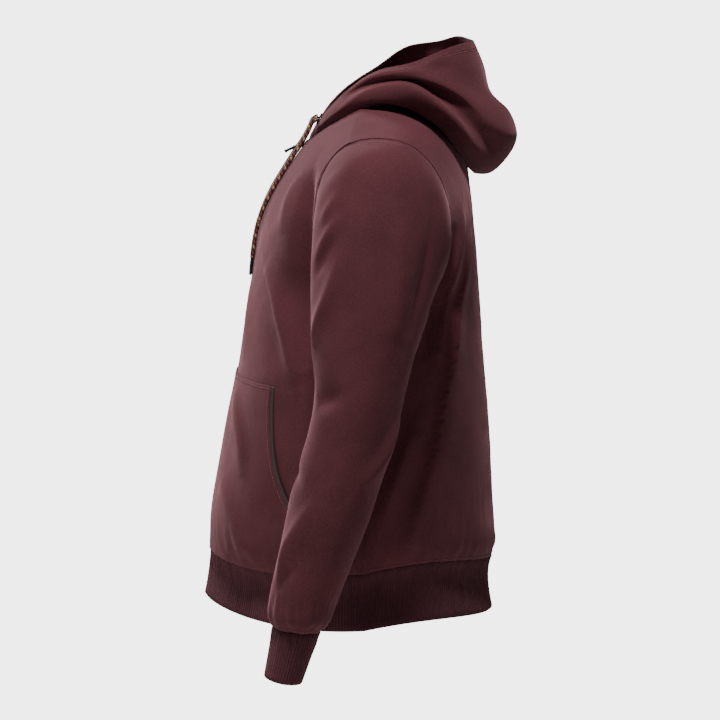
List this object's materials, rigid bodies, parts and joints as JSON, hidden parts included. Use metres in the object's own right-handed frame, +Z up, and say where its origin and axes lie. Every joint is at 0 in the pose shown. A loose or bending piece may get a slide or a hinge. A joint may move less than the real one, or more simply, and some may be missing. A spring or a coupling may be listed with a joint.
{
  "type": "zip-up hoodie",
  "caption": "Zip-up hooded sweatshirt, worn and filled out: long sleeves, ribbed cuffs and hem, slanted front pockets, hood folded back, loose drawcord ends.",
  "frame": {"origin": "middle of the neck's base, where the wearer's neck and shoulders hold it", "axes": "+Z up, -Y out of the garment's front, +X towards the wearer's left"},
  "size_m": [0.652, 0.4152, 0.8014],
  "materials": {
    "jersey": "brushed sweatshirt jersey, matt, burgundy",
    "rib": "2x2 rib knit, matt, burgundy",
    "pocket_tape": "woven tape, matt, grey-brown",
    "zip_tape": "woven tape, matt, dark burgundy",
    "braid": "round braid, black and burgundy with orange flecks",
    "black_plastic": "smooth black moulded plastic",
    "black_metal": "black lacquered metal, satin"
  },
  "bodies": {
    "garment": {"front_left": "jersey", "front_right": "jersey", "back": "jersey", "sleeve_left": "jersey", "sleeve_right": "jersey", "hood_left": "jersey", "hood_right": "jersey", "pocket_left": "jersey", "pocket_right": "jersey", "cuff_left": "rib", "cuff_right": "rib", "hem_band": "rib", "pocket_tape_left": "pocket_tape", "pocket_tape_right": "pocket_tape", "zip_tape_left": "zip_tape", "zip_tape_right": "zip_tape", "zip_chain": "black_plastic", "zip_slider": "black_metal", "eyelet_left": "black_metal", "eyelet_right": "black_metal", "drawcord_left": "braid", "drawcord_right": "braid", "cord_tip_left": "black_plastic", "cord_tip_right": "black_plastic"},
    "pull": {"zip_pull": "black_plastic"}
  },
  "joints": [
    {"name": "pull_hinge", "type": "hinge", "parent": "garment", "child": "pull", "pos_m": [0, -0.09067, -0.06543], "axis": [-1, 0, 0], "range_deg": [-17, 140]}
  ]
}
